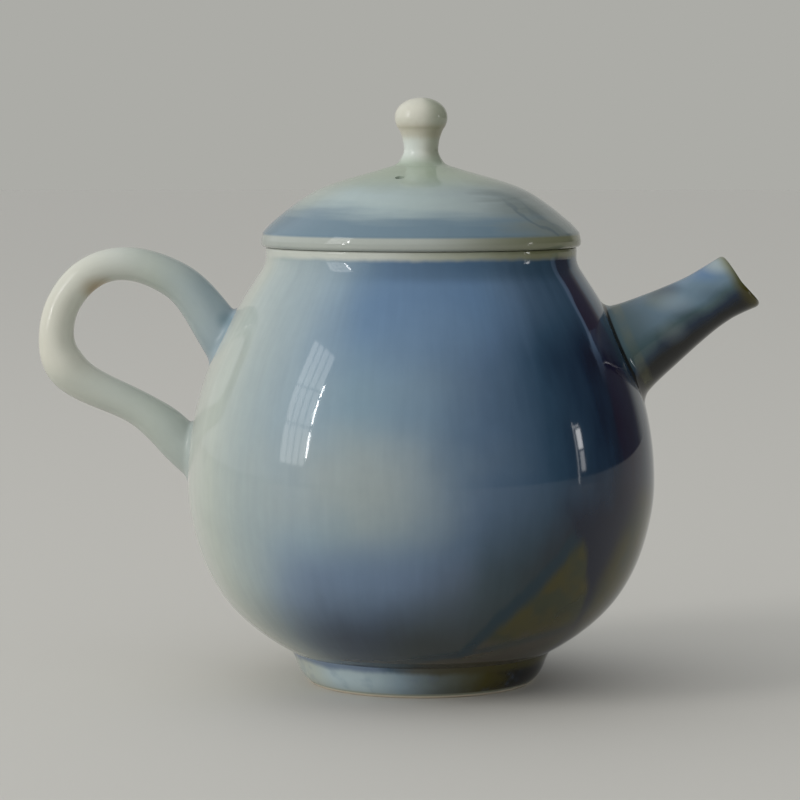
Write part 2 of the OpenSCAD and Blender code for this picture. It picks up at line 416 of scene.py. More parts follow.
# ---- materials ----

GLAZE_IOR = 1.47
GLAZE_ROUGH = 0.055       # roughness of the glaze
BARE_ROUGH = 0.45         # what is added to it on bare clay
WAVE_DEPTH = 0.0004       # of the glaze's soft waves, in metres
NEAR_AXIS = 1e-4          # the smallest radius to divide by, in metres
DARKEST = 62              # azimuth where the colours are darkest, near the spout: dark glaze with painted shade in it


class Nodes:
    """Fills a node tree: the methods add nodes and return the socket to go on from."""

    def __init__(self, tree):
        self.tree = tree
        tree.nodes.clear()

    def node(self, kind):
        return self.tree.nodes.new(kind)

    def put(self, socket, value):
        """Links a socket to the value, or sets it."""
        if isinstance(value, bpy.types.NodeSocket):
            self.tree.links.new(value, socket)
        else:
            socket.default_value = value

    def math(self, operation, *values):
        n = self.node("ShaderNodeMath")
        n.operation = operation
        for socket, value in zip(n.inputs, values):
            self.put(socket, value)
        return n.outputs[0]

    def vector(self, operation, a, b=(0, 0, 0)):
        """A node for a sum with vectors."""
        n = self.node("ShaderNodeVectorMath")
        n.operation = operation
        self.put(n.inputs[0], a)
        n.inputs[1].default_value = b
        return n

    def fade(self, value, start, stop, low=0.0, high=1.0):
        """low at start, high at stop, soft at both."""
        n = self.node("ShaderNodeMapRange")
        n.interpolation_type = "SMOOTHSTEP"
        for socket, setting in zip(n.inputs, (value, start, stop, low, high)):
            self.put(socket, setting)
        return n.outputs["Result"]


class Glaze(Nodes):
    """A glossy glaze. x, y, z and the place are in metres, the height in millimetres."""

    def __init__(self, name):
        self.material = bpy.data.materials.new(name)
        self.material.use_nodes = True
        super().__init__(self.material.node_tree)
        self.place = self.node("ShaderNodeTexCoord").outputs["Object"]
        parts = self.node("ShaderNodeSeparateXYZ")
        self.put(parts.inputs[0], self.place)
        self.x, self.y, self.z = parts.outputs
        self.height = self.times(self.z, 1 / MM)

    def times(self, *values):
        """The product of the values. For masks it is 1 only where all of them are."""
        return reduce(lambda a, b: self.math("MULTIPLY", a, b), values)

    def total(self, *values):
        """The sum of the values."""
        return reduce(lambda a, b: self.math("ADD", a, b), values)

    def scaled(self, value, factor, offset):
        return self.math("MULTIPLY_ADD", value, factor, offset)

    def varied(self, noise, middle, spread):
        """Noise from 0 to 1 made to vary by a spread about a middle."""
        return self.scaled(noise, spread, middle - spread / 2)

    def between(self, value, low, high, soft):
        """1 from low to high, fading to 0 over soft beyond each end."""
        return self.times(self.fade(value, low - soft, low),
                          self.fade(value, high + soft, high))

    def blend(self, amount, a, b):
        """Colour a where the amount is 0, b where it is 1."""
        n = self.node("ShaderNodeMix")
        n.data_type = "RGBA"
        self.put(n.inputs[0], amount)
        self.put(n.inputs[6], a)
        self.put(n.inputs[7], b)
        return n.outputs[2]

    def over(self, colour, shade, *masks):
        """The colour with a shade over it, as strong as the product of the masks."""
        return self.blend(self.times(*masks), colour, shade)

    def shaded(self, colour, brightness):
        n = self.vector("SCALE", colour)
        self.put(n.inputs["Scale"], brightness)
        return n.outputs[0]

    def ramp(self, value, stops):
        n = self.node("ShaderNodeValToRGB")
        self.put(n.inputs[0], value)
        keys = n.color_ramp.elements
        while len(keys) < len(stops):
            keys.new(0.5)
        for key, (at, colour) in zip(keys, stops):
            key.position, key.color = at, colour
        return n.outputs["Color"]

    def texture(self, where, scale, detail):
        n = self.node("ShaderNodeTexNoise")
        self.put(n.inputs["Vector"], where)
        n.inputs["Scale"].default_value = scale
        n.inputs["Detail"].default_value = detail
        return n.outputs["Fac"]

    def noise(self, scale, detail=3.0, stretch=(1, 1, 1)):
        """Noise from 0 to 1, with a factor on each axis."""
        where = self.vector("MULTIPLY", self.place, stretch).outputs[0]
        return self.texture(where, scale, detail)

    def cloud(self, scale):
        """Soft clouds, -0.5 to 0.5."""
        return self.math("SUBTRACT", self.noise(scale), 0.5)

    def flowing(self, scale, run=5.0):
        """Noise in streaks that follow the wall down, 0 to 1."""
        radius = self.radius()
        where = self.node("ShaderNodeCombineXYZ")
        self.put(where.inputs[0], self.math("DIVIDE", self.x, radius))
        self.put(where.inputs[1], self.math("DIVIDE", self.y, radius))
        self.put(where.inputs[2], self.times(self.z, run))
        return self.texture(where.outputs[0], scale, 3.0)

    def streaks(self):
        """Glaze that has run down the wall: -0.5 to 0.5, long in height."""
        both = self.total(self.times(self.flowing(3.5), 0.65),
                          self.times(self.flowing(13.0), 0.35))
        return self.math("SUBTRACT", both, 0.5)

    def radius(self):
        """Distance from the pot's axis, in metres, never quite 0."""
        squares = self.total(self.times(self.x, self.x), self.times(self.y, self.y))
        return self.math("MAXIMUM", self.math("SQRT", squares), NEAR_AXIS)

    def azimuth(self):
        """Degrees round the pot: 0 in front, 90 at the spout, -90 at the handle."""
        back = self.times(self.y, -1.0)
        return self.times(self.math("ARCTAN2", self.x, back), 180 / math.pi)

    def facing(self, degrees):
        """1 on the side at that azimuth, -1 on the opposite side, whatever the radius."""
        a = math.radians(degrees)
        across = self.total(self.times(self.x, math.sin(a)),
                            self.times(self.y, -math.cos(a)))
        return self.math("DIVIDE", across, self.radius())

    def patch(self, centre, size, solid, wobble):
        """1 round a centre out to a solid share of the size, fading to 0 at the size.
        Both are in millimetres, and the wobble makes the outline uneven."""
        shift = self.vector("SUBTRACT", self.place, [v * MM for v in centre])
        scale = self.vector("DIVIDE", shift.outputs[0], [v * MM for v in size])
        reach = self.vector("LENGTH", scale.outputs[0]).outputs["Value"]
        return self.fade(self.total(reach, wobble), 1.0, solid)

    def brushed(self, colour, scale, depth):
        """The colour with fine streaks down the wall and small cloudy specks."""
        fine = self.total(self.times(self.flowing(scale, 2.0), 0.6),
                          self.times(self.noise(150), 0.4))
        return self.shaded(colour, self.varied(fine, 1.0, depth))

    def relief(self):
        """Faint throwing rings and the slow waves of a thick glaze."""
        rings = self.noise(90, 1, stretch=(0.15, 0.15, 1.0))
        waves = self.noise(30, 2)
        return self.total(self.times(rings, 0.5), waves)

    def finish(self, colour, bare=None, waves=0.12):
        """The material: a glossy skin with soft waves and fine pits, matt where bare."""
        shader = self.node("ShaderNodeBsdfPrincipled")
        out = self.node("ShaderNodeOutputMaterial")
        self.put(out.inputs[0], shader.outputs[0])
        pits = self.varied(self.noise(420, 2), 1.0, 0.05)
        self.put(shader.inputs["Base Color"], self.shaded(colour, pits))
        gloss = self.varied(self.noise(38, 2), GLAZE_ROUGH, 0.05)
        if bare is not None:
            gloss = self.total(gloss, self.times(bare, BARE_ROUGH))
        self.put(shader.inputs["Roughness"], gloss)
        shader.inputs["IOR"].default_value = GLAZE_IOR
        bump = self.node("ShaderNodeBump")
        bump.inputs["Strength"].default_value = waves
        bump.inputs["Distance"].default_value = WAVE_DEPTH
        self.put(bump.inputs["Height"], self.relief())
        self.put(shader.inputs["Normal"], bump.outputs[0])
        return self.material


# ---- the glazes' colours ----

# The zones' places were measured on the photograph: z and level are heights above the
# table in millimetres, angle, sway and place are azimuths in degrees, and side runs
# from -1 on the pale side to 1 on the dark one. Noise makes the zones' edges uneven.


def body_colour(glaze):
    """Cream at the handle, pale blue in front and navy at the spout: the glaze's own colours
    with painted shade in them, darker towards the spout.
    """
    run, cloud = glaze.streaks(), glaze.cloud(24)
    angle, z = glaze.azimuth(), glaze.height
    side = glaze.facing(DARKEST)
    turn = glaze.total(side, glaze.times(run, 0.20), glaze.times(cloud, 0.14))
    # on the spout's side the colour turns darker below, as painted shade, and lighter near
    # the neck
    shift = glaze.total(glaze.times(glaze.fade(z, 58, 32), 0.08),
                        glaze.times(glaze.fade(z, 84, 103), -0.15))
    turn = glaze.total(turn, glaze.times(glaze.fade(side, 0.1, 0.7), shift))
    # painted shade: the ramp runs darker towards the spout than the glaze alone would
    colour = glaze.ramp(glaze.scaled(turn, 0.5, 0.5), [
        (0.10, CREAM), (0.205, MILK), (0.33, MIST), (0.465, PALE_BLUE), (0.605, GREY_BLUE),
        (0.735, SLATE_BLUE), (0.85, COBALT), (0.935, DEEP_BLUE), (0.982, INK_BLUE),
        (1.0, NAVY)])
    colour = front_zones(glaze, colour, angle, z, cloud)
    place = glaze.total(angle, glaze.times(run, 11.0))
    colour = plum_runs(glaze, colour, place, z)
    colour = painted_reflections(glaze, colour, place, z, cloud)
    return glaze.brushed(foot_spill(glaze, colour, place, z), 30, 0.22)


def front_zones(glaze, colour, angle, z, cloud):
    """Strong blue under the neck, a grey patch at the belly, a violet pool below and painted
    shade near the foot.
    """
    sway = glaze.total(angle, glaze.times(cloud, 34.0))
    level = glaze.total(z, glaze.times(cloud, 16.0))
    top = glaze.times(glaze.fade(level, 80, 101), glaze.between(sway, -10, 12, 28))
    colour = glaze.over(colour, SKY_BLUE, top, 0.8)
    left = glaze.times(glaze.fade(z, 82, 104), glaze.between(angle, -60, -34, 14))
    colour = glaze.over(colour, PALE_BLUE, left, 0.35)
    patch = glaze.patch((-15, -58, 57), (42, 30, 24), 0.0, glaze.times(cloud, 1.3))
    colour = glaze.over(colour, SAND, patch, 0.65)
    pool = glaze.times(glaze.fade(level, 47, 33), glaze.fade(sway, -46, -24),
                       glaze.fade(sway, 21, 12))
    colour = glaze.over(colour, VIOLET, pool, 0.75)
    # painted shade: darker towards the foot, all round but for the handle's side
    painted_shade = glaze.times(glaze.fade(level, 34, 15),
                       glaze.fade(glaze.facing(DARKEST), -0.72, 0.1))
    return glaze.over(colour, DUSK, painted_shade, 0.8)


def plum_runs(glaze, colour, place, z):
    """A plum run down from the neck before the spout, with a violet thread beside it."""
    plum = glaze.times(glaze.between(place, 58, 67, 2.5), glaze.fade(z, 44, 66),
                       glaze.scaled(glaze.fade(z, 86, 94), 0.35, 0.5))
    colour = glaze.over(colour, PLUM, plum)
    thread = glaze.times(glaze.between(place, 55.6, 56.6, 1.0), glaze.fade(z, 78, 92))
    return glaze.over(colour, VIOLET, thread, 0.55)


def painted_reflections(glaze, colour, place, z, cloud):
    """Painted reflections low on the spout's side: an olive wedge with a teal fringe and an
    olive patch farther round for a lit table, a navy band between them for something dark,
    and an olive-grey haze that darkens the wall towards the foot."""
    # degrees past the wedge's two edges, which lean apart towards the foot
    from_edge = glaze.total(place, glaze.scaled(z, -0.9, -4.7))
    to_edge = glaze.total(place, glaze.scaled(z, 0.47, -62.5))
    # painted reflection: an olive-grey darkening towards the foot
    dark_reflection = glaze.times(glaze.fade(from_edge, -42, -16), glaze.fade(to_edge, 2, -4),
                       glaze.fade(z, 58, 26))
    colour = glaze.over(colour, MIRE, dark_reflection, 0.5)
    low = glaze.fade(z, 50, 41)
    fringe = glaze.times(glaze.between(from_edge, -4, -1, 3.0), low)
    colour = glaze.over(colour, DARK_TEAL, fringe, 0.75)
    # painted reflection of something dark: a navy band beside the wedge
    dark_band = glaze.times(glaze.between(to_edge, 0, 9, 3), glaze.fade(z, 54, 44))
    colour = glaze.over(colour, NAVY, dark_band, 0.9)
    # painted reflection of a lit table: the olive wedge and the patch farther round
    wedge = glaze.times(glaze.fade(from_edge, -2.5, 2.5), glaze.fade(to_edge, 1.5, -1.5),
                        low)
    far = glaze.patch((50, -18, 26), (24, 20, 28), 0.6, glaze.times(cloud, 0.8))
    olive = glaze.math("MAXIMUM", wedge, far)
    mottled = glaze.blend(glaze.fade(glaze.noise(95, 4), 0.40, 0.62), OLIVE, MIRE)
    brown = glaze.times(glaze.fade(z, 26, 14), glaze.fade(glaze.noise(60), 0.38, 0.6))
    return glaze.over(colour, glaze.over(mottled, PEAT, brown), olive, 0.92)


def foot_spill(glaze, colour, place, z):
    """The olive glaze that has run out along the foot, towards the front."""
    rise = glaze.total(z, glaze.times(place, -0.13))
    front = glaze.times(glaze.fade(place, -8, 4), glaze.fade(place, 56, 46))
    colour = glaze.over(colour, DARK_TEAL, glaze.fade(rise, 13.4, 11.2), front, 0.5)
    return glaze.over(colour, PEAT, glaze.fade(rise, 11.0, 9.8), front, 0.85)


def pooled(glaze, colour):
    """The body's colour with the darker, greener glaze that has gathered at the neck."""
    gathered = glaze.times(glaze.between(glaze.height, 106.8, 108.6, 3.2),
                           glaze.between(glaze.facing(DARKEST), 0.6, 0.88, 0.9))
    return glaze.over(colour, DARK_TEAL, gathered, 0.35)


def body_glaze():
    glaze = Glaze("body_glaze")
    return glaze.finish(pooled(glaze, body_colour(glaze)))


def inside_glaze():
    glaze = Glaze("inside_glaze")
    return glaze.finish(glaze.blend(glaze.fade(glaze.noise(30), 0.3, 0.8), CREAM, MILK))


def neck_glaze():
    """A thin cream band that turns olive by the spout, with the blue pooled below it."""
    glaze = Glaze("neck_glaze")
    run = glaze.streaks()
    level = glaze.total(glaze.height, glaze.times(run, 1.6))
    side = glaze.total(glaze.facing(DARKEST), glaze.times(run, 0.15))
    band = glaze.ramp(glaze.scaled(side, 0.5, 0.5), [
        (0.20, CREAM), (0.62, CREAM), (0.86, STONE), (0.985, MOSS)])
    low = glaze.fade(level, 110.9, 109.3)
    return glaze.finish(glaze.blend(low, band, pooled(glaze, body_colour(glaze))))


def foot_glaze():
    """Mottled pale blue that turns olive and nearly black by the spout, with a violet
    line under the pot and bare clay where it touches the table."""
    glaze = Glaze("foot_glaze")
    run, cloud, fine = glaze.streaks(), glaze.cloud(40), glaze.cloud(150)
    side = glaze.total(glaze.facing(DARKEST), glaze.times(cloud, 0.24),
                       glaze.times(fine, 0.16))
    share = glaze.scaled(side, 0.5, 0.5)
    colour = glaze.ramp(share, [
        (0.22, MILK), (0.36, FROST), (0.50, FROST), (0.635, PALE_BLUE), (0.79, PEWTER),
        (0.93, OLIVE), (1.0, SOOT)])
    colour = glaze.over(colour, VIOLET, glaze.fade(fine, 0.02, 0.2), 0.25)
    level = glaze.total(glaze.height, glaze.times(run, 2.0), glaze.times(cloud, 2.4))
    top = glaze.ramp(share, [
        (0.3, VIOLET), (0.55, VIOLET), (0.62, DEEP_BLUE), (0.70, PEAT), (1.0, OLIVE)])
    colour = glaze.over(colour, top, glaze.fade(level, 5.9, 7.6), 0.8)
    colour = glaze.over(colour, STONE, glaze.fade(glaze.height, 1.5, 0.9), 0.8)
    bare = glaze.fade(glaze.height, 0.9, 0.5)
    return glaze.finish(glaze.blend(bare, colour, BARE_CLAY), bare)


def stored(glaze, name):
    """A number kept per point by mark()."""
    attribute = glaze.node("ShaderNodeAttribute")
    attribute.attribute_name = name
    return attribute.outputs["Fac"]


# cloudy spots on the spout: middle, reach, solid share of the reach, strength, colour
SPOUT_SPOTS = [((61, -5, 99), (6, 8, 4), 0.0, 0.5, MOSS),
               ((67, -7, 96), (6, 8, 4), 0.0, 0.35, DUSK),
               ((74, -6, 100), (6, 8, 4), 0.0, 0.35, DARK_TEAL),
               ((64, -9, 91), (6, 8, 4), 0.0, 0.4, ASH),
               ((63, -3, 101), (6, 8, 4), 0.0, 0.5, DUSK),
               ((65, -6, 98), (8, 8, 4), 0.1, 0.6, PALE_BLUE),
               ((73, -3, 106), (7, 8, 5), 0.1, 0.7, SKY_BLUE),
               ((77, -3, 108), (6, 8, 4), 0.1, 0.8, MIST)]


def spout_glaze():
    """Light blue above, black below, teal at the root and olive round the mouth."""
    glaze = Glaze("spout_glaze")
    root, along, around = [stored(glaze, name) for name in ("root", "along", "around")]
    cloud, fine = glaze.cloud(60), glaze.cloud(170)
    turn = glaze.total(around, glaze.times(cloud, 0.75), glaze.times(fine, 0.3))
    colour = glaze.ramp(glaze.scaled(turn, 0.5, 0.5), [
        (0.20, SOOT), (0.34, INK_BLUE), (0.49, TEAL_GREY), (0.64, STEEL_BLUE),
        (0.85, STEEL_BLUE), (1.0, SLATE_BLUE)])
    colour = glaze.over(colour, TEAL_GREY, glaze.fade(root, 12.0, 3.0),
                        glaze.fade(around, -0.6, 0.1), 0.8)
    for middle, reach, solid, strength, shade in SPOUT_SPOTS:
        spot = glaze.patch(middle, reach, solid, cloud)
        colour = glaze.over(colour, shade, spot, strength)
    lip = glaze.fade(glaze.total(along, glaze.times(cloud, 0.08)), 0.90, 0.99)
    edge = glaze.blend(glaze.fade(around, -0.4, 0.9), OLIVE, MOSS)
    colour = glaze.over(colour, edge, lip, 0.92)
    thin = glaze.times(glaze.between(root, 2.0, 3.2, 1.2), glaze.fade(fine, -0.3, 0.2))
    colour = glaze.over(colour, MOSS, thin, 0.4)
    groove = glaze.fade(root, 0.7, 0.3)
    return glaze.finish(glaze.blend(groove, colour, SOOT), waves=0.45)


def handle_glaze():
    """Ivory, bluish towards the roots, with a warm spot at the upper bend and a teal
    pool at the upper root."""
    glaze = Glaze("handle_glaze")
    cloud = glaze.cloud(45)
    near = glaze.total(glaze.x, glaze.times(cloud, 0.012))
    # from 0 at 97.5 mm out to 1 at 47.5 mm
    colour = glaze.ramp(glaze.scaled(near, 20.0, 1.95), [
        (0.05, IVORY), (0.40, CREAM), (0.58, MILK), (0.95, PALE_BLUE)])
    colour = glaze.over(colour, MILK, glaze.fade(glaze.height, 84, 76), 0.5)
    bend = glaze.patch((-83, 0, 101.5), (7, 9, 5), 0.1, cloud)
    colour = glaze.over(colour, OCHRE, bend, 0.7)
    pool = glaze.patch((-50.0, -5, 93.5), (3.0, 4, 3.0), 0.0, cloud)
    return glaze.finish(glaze.over(colour, TEAL, pool, 0.38))


def lid_colour(glaze):
    """Milky blue, brushed round, with a blue band above the cream rim."""
    cloud, wander = glaze.cloud(26), glaze.cloud(70)
    rings = glaze.scaled(glaze.noise(520, stretch=(0.07, 0.07, 1.0)), 1.0, -0.5)
    angle, z = glaze.azimuth(), glaze.height
    side = glaze.total(glaze.facing(66), glaze.times(cloud, 0.3), glaze.times(rings, 0.35))
    share = glaze.scaled(side, 0.5, 0.5)
    colour = glaze.ramp(share, [(0.10, MILK), (0.36, ICE), (0.70, ICE), (0.90, MIST),
                                (1.0, ASH)])
    level = glaze.total(z, glaze.times(rings, 4.5), glaze.times(cloud, 5.0),
                        glaze.times(glaze.fade(glaze.facing(-75), 0.6, 1.0), -2.4))
    milky = glaze.times(glaze.between(level, 121.5, 125.5, 2.0),
                        glaze.fade(glaze.facing(DARKEST), 0.85, 0.1),
                        glaze.fade(angle, -62, -36))
    colour = glaze.over(colour, FROST, milky, 0.3)
    colour = glaze.over(colour, CELADON, glaze.fade(z, 126, 131.6))
    band = glaze.ramp(share, [(0.30, STEEL_BLUE), (0.88, STEEL_BLUE), (1.0, ASH)])
    colour = glaze.over(colour, band, glaze.fade(level, 124.0, 118.0), 0.93)
    colour = lid_runs(glaze, colour, angle, z, wander)
    edge = glaze.blend(glaze.fade(glaze.facing(DARKEST), 0.45, 1.1), RIM_CREAM, MOSS)
    edge = glaze.over(edge, MOSS, glaze.fade(wander, 0.06, 0.22), 0.5)
    colour = glaze.over(colour, edge, glaze.fade(z, 115.9, 115.2))
    return glaze.brushed(colour, 9, 0.08)


def lid_runs(glaze, colour, angle, z, wander):
    """Two faint dark runs that wander down towards the spout."""
    # degrees past a line at 44 degrees at a height of 123.5 and 58 degrees at 116.3
    lean = glaze.total(angle, glaze.scaled(z, 1.94, -283.6), glaze.times(wander, 34.0))
    for at, strength in ((0.0, 0.30), (9.0, 0.15)):
        colour = glaze.over(colour, DEEP_BLUE, glaze.between(lean, at - 0.5, at + 0.5, 2.0),
                            glaze.fade(z, 127, 121), strength)
    return colour


def lid_glaze():
    glaze = Glaze("lid_glaze")
    return glaze.finish(lid_colour(glaze))


def knob_glaze():
    """Ivory, warmer where the ball meets the stem, with painted shade that makes it darker
    and greener on the spout's side and a painted highlight on the left of the stem. Its root
    has the lid's own colour, so that the two run into one another."""
    glaze = Glaze("knob_glaze")
    level = glaze.total(glaze.height, glaze.times(glaze.streaks(), 1.5))
    # painted shade: darker and greener on the spout's side
    colour = glaze.blend(glaze.fade(glaze.facing(70), 0.3, 1.0), IVORY, STONE)
    # painted highlight: a bluish-white window reflection on the left of the stem
    colour = glaze.over(colour, PAINTED_HIGHLIGHT, glaze.fade(glaze.facing(-60), -0.2, 1.0),
                        glaze.fade(level, 143, 138), 0.6)
    colour = glaze.over(colour, OCHRE, glaze.between(level, 141.0, 142.6, 1.8), 0.22)
    colour = glaze.brushed(colour, 9, 0.08)
    root = glaze.fade(glaze.height, 137.0, LID_HIGH[2])
    return glaze.finish(glaze.blend(root, colour, lid_colour(glaze)))


def bare_porcelain():
    """Unglazed clay of the lid's collar."""
    glaze = Glaze("bare_porcelain")
    return glaze.finish(glaze.blend(glaze.noise(180, 4), BARE_CLAY, CREAM), 1.0)


# ---- the pot ----


def spout_axes():
    """Along and across the spout, in the XZ plane."""
    along = (math.cos(SPOUT_ANGLE), math.sin(SPOUT_ANGLE))
    return along, (-along[1], along[0])


def strainer_bits():
    """Bits for the holes pierced through the wall behind the spout."""
    along, across = spout_axes()
    pitch = (SPOUT_ROOT_R - SPOUT_WALL - HOLE_R - HOLE_EDGE) / STRAINER_RINGS
    bits = []
    for ring in range(STRAINER_RINGS + 1):
        for k in range(max(6 * ring, 1)):
            turn = math.radians(60 * k / max(ring, 1))
            up, side = ring * pitch * math.cos(turn), ring * pitch * math.sin(turn)
            centre = (SPOUT_ROOT[0] + across[0] * up, side, SPOUT_ROOT[1] + across[1] * up)
            bits.append(drill_bit(HOLE_R, centre, (along[0], 0, along[1]), 6 * WALL))
    return bits


def make_pot():
    """The thrown wall with its strainer: glazed skin outside, cream glaze inside."""
    base_top = BASE_Z + BASE_T
    recess_r = FOOT_R - FOOT_LAND
    # the inner wall ends in a small step under the mouth, and below in a dished floor
    inner = [p for p in inset(BELLY_CURVE, WALL) if base_top < p[1] < COLLAR_Z - 2.2]
    outline = [[0, BASE_Z], [recess_r - FOOT_TAPER, BASE_Z], *BELLY_CURVE,
               [MOUTH_R, COLLAR_Z], [MOUTH_R + 0.5, COLLAR_Z - 1.2], *reversed(inner),
               [recess_r - 4, base_top], [0, base_top - 0.6]]
    points, faces = revolve(outline)
    made = piece("pot_wall", points, faces, [body_glaze(), inside_glaze()],
                 "pot", ["pot_body", "strainer"])
    pierce(made, strainer_bits())
    deep = -0.6 * WALL                    # how deep in the wall the inner glaze starts
    for face in made.data.polygons:
        x, y, z = face.center / MM
        if off_pot(x, y, z) < deep or z < BASE_Z + 0.2 or z > COLLAR_Z - 0.05:
            face.material_index = 1


def make_neck():
    edge = 0.4                            # rounding of the rim
    outline = [[MOUTH_R, COLLAR_Z], *COLLAR_CURVE,
               *arc((NECK_R + NECK_BULGE - edge, RIM_Z - edge), edge, 10, 90),
               *arc((MOUTH_R + edge, RIM_Z - edge), edge, 90, 180)]
    points, faces = revolve(outline)
    piece("neck", points, faces, [neck_glaze()], "pot", ["neck_collar"],
          TURNED_SHARP)


# the foot's skin: share of the way from its low radius to its top one, and of its height
FOOT_SHAPE = [(0.36, 0.234), (0.61, 0.488), (0.76, 0.742), (1.0, 1.0)]


def make_foot():
    toe = 0.5                             # rounding beside the ring it stands on
    inner = FOOT_R - FOOT_LAND
    stations = [(FOOT_R, toe / 2)]
    stations += [(mix(FOOT_R, FOOT_TOP_R, out), FOOT_H * up) for out, up in FOOT_SHAPE]
    outline = [[inner - FOOT_TAPER, BASE_Z], [inner, toe], [inner + toe, 0],
               [FOOT_R - toe, 0], *smooth(stations, 8, 2)]
    points, faces = revolve(outline)
    piece("foot", points, faces, [foot_glaze()], "pot", ["foot_ring"],
          TURNED_SHARP)


# ---- what is luted on to it ----


def luted(point, outward, reach):
    """A point of a root, moved outward if it is nearer to the pot's skin than the reach,
    so that the root spreads on to the skin in a round hollow."""
    off = off_pot(*point)
    if off >= reach:
        return point
    skin = pot_normal(*point)
    side = Vector(outward) - skin * skin.dot(Vector(outward))
    if side.length < 1e-6:
        return point
    drop = 1 - max(off, 0.0) / reach
    spread = reach * (1 - math.sqrt(max(1 - drop * drop, 0.0)))
    return tuple(Vector(point) + side.normalized() * spread)


# from the upper root round to the lower one: how far out, from the wall (0) to the
# outermost run (1); how high, from the lower root (0) to the upper one (1); and how
# thick, as a multiple of HANDLE_T
HANDLE_PATH = [
    (-0.082, 0.857, 1.68), (0.022, 1.028, 1.45), (0.165, 1.286, 1.24),
    (0.297, 1.430, 1.12), (0.501, 1.534, 1.02), (0.696, 1.531, 0.98),
    (0.858, 1.413, 1.01), (0.973, 1.196, 1.01), (1.001, 0.948, 1.07),
    (0.947, 0.754, 1.24), (0.812, 0.613, 1.11), (0.537, 0.452, 1.02),
    (0.358, 0.295, 1.22), (0.250, 0.157, 1.30), (0.082, 0.000, 1.52)]
OUTERMOST = 8         # the station at the handle's reach


def make_handle():
    wall_x = pot_radius(HANDLE_TOP_Z)
    mid_x = HANDLE_REACH - HANDLE_T * HANDLE_PATH[OUTERMOST][2] / 2
    sides = 72
    reach = 1.6                           # of the hollows where it meets the pot
    stations = [(-mix(wall_x, mid_x, out), mix(HANDLE_LOW_Z, HANDLE_TOP_Z, up),
                 HANDLE_T * thick) for out, up, thick in HANDLE_PATH]
    line = smooth(stations, 24, 2)
    rings = []
    for i, (x, z, thick) in enumerate(line):
        dx, dz = direction(line, i)
        ring = []
        for k in range(sides):
            a = 2 * math.pi * k / sides
            up, side = math.cos(a), math.sin(a)
            point = (x - dz * up * thick / 2, side * thick * HANDLE_OVAL / 2,
                     z + dx * up * thick / 2)
            ring.append(luted(point, (-dz * up, side, dx * up), reach))
        rings.append(ring)
    points, faces = lofted(rings, False)
    piece("handle_loop", points, faces, [handle_glaze()], "pot", ["handle"])


# how far along the spout, and how wide from the tip's diameter (0) to the root's (1)
SPOUT_SHAPE = [(-0.10, 1.30), (-0.01, 1.28), (0.03, 1.17), (0.08, 1.02), (0.16, 0.84),
               (0.30, 0.60), (0.50, 0.28), (0.68, 0.06), (0.82, 0.01), (0.96, 0.00)]


def spout_ring(s, r, sides, reach):
    """One ring of the spout, s along it and r wide: leaning with the wall at the root,
    with the lower lip drawn out near the mouth. For each point it gives the place, how
    far it lies off the pot, and how far up it faces, from -1 to 1."""
    along, across = spout_axes()
    start = LIP_START * SPOUT_L
    near = max(0.0, s - start) / (SPOUT_L - start)
    # the lean dies away fast along the spout, and only the lower side is pulled out
    lean = r * math.tan(SPOUT_LEAN) * (1 - max(0.0, s) / SPOUT_L) ** 3
    ring = []
    for k in range(sides):
        a = 2 * math.pi * k / sides
        up, side = math.cos(a), math.sin(a)
        pull = LIP_OUT * max(0.0, -up) ** 1.3 * near ** 1.5
        d, e = s + pull + up * lean, r + 0.8 * pull
        point = (SPOUT_ROOT[0] + along[0] * d + across[0] * e * up, e * side,
                 SPOUT_ROOT[1] + along[1] * d + across[1] * e * up)
        outward = (across[0] * up, side, across[1] * up)
        moved = luted(point, outward, reach) if reach else point
        ring.append((moved, off_pot(*point), up))
    return ring


def make_spout():
    sides = 96
    shape = [(s * SPOUT_L, mix(SPOUT_TIP_R, SPOUT_ROOT_R, w))
             for s, w in smooth(SPOUT_SHAPE, 16, 1)]
    lip_r = SPOUT_WALL / 2
    reach = 2.0                           # of the hollow where it meets the pot
    outside = [(s, r, reach) for s, r in shape if s < SPOUT_L - lip_r]
    lip = [(s, r, 0) for s, r in arc((SPOUT_L - lip_r, SPOUT_TIP_R - lip_r), lip_r, 90, -90)]
    inside = [(s, r - SPOUT_WALL, 0) for s, r in shape if s < SPOUT_L - lip_r]
    runs = outside + lip + inside[::-1]
    rings = [spout_ring(s, r, sides, reach) for s, r, reach in runs]
    points, faces = lofted([[point for point, _, _ in ring] for ring in rings], True)
    made = piece("spout_tube", points, faces, [spout_glaze()], "pot", ["spout"])
    mark(made, "root", [off for ring in rings for _, off, _ in ring])
    mark(made, "along", [s / SPOUT_L for s, _, _ in runs for _ in range(sides)])
    mark(made, "around", [up for ring in rings for _, _, up in ring])


# ---- the lid ----

# the dome's skin: share of the lid's radius, and of its height
DOME_SHAPE = [(0.989, 0.178), (0.943, 0.283), (0.885, 0.383), (0.825, 0.483),
              (0.755, 0.588), (0.675, 0.693), (0.566, 0.793), (0.406, 0.893),
              (0.215, 1.000)]
DOME_CURVE = smooth([(LID_R * r, LID_Z + DOME_H * h) for r, h in DOME_SHAPE], 10, 2)


def dome_z(radius):
    """Height of the dome's skin at a radius."""
    for (r0, z0), (r1, z1) in zip(DOME_CURVE, DOME_CURVE[1:]):
        if r1 <= radius <= r0:
            return mix(z1, z0, (radius - r1) / (r0 - r1))
    return LID_HIGH[2]


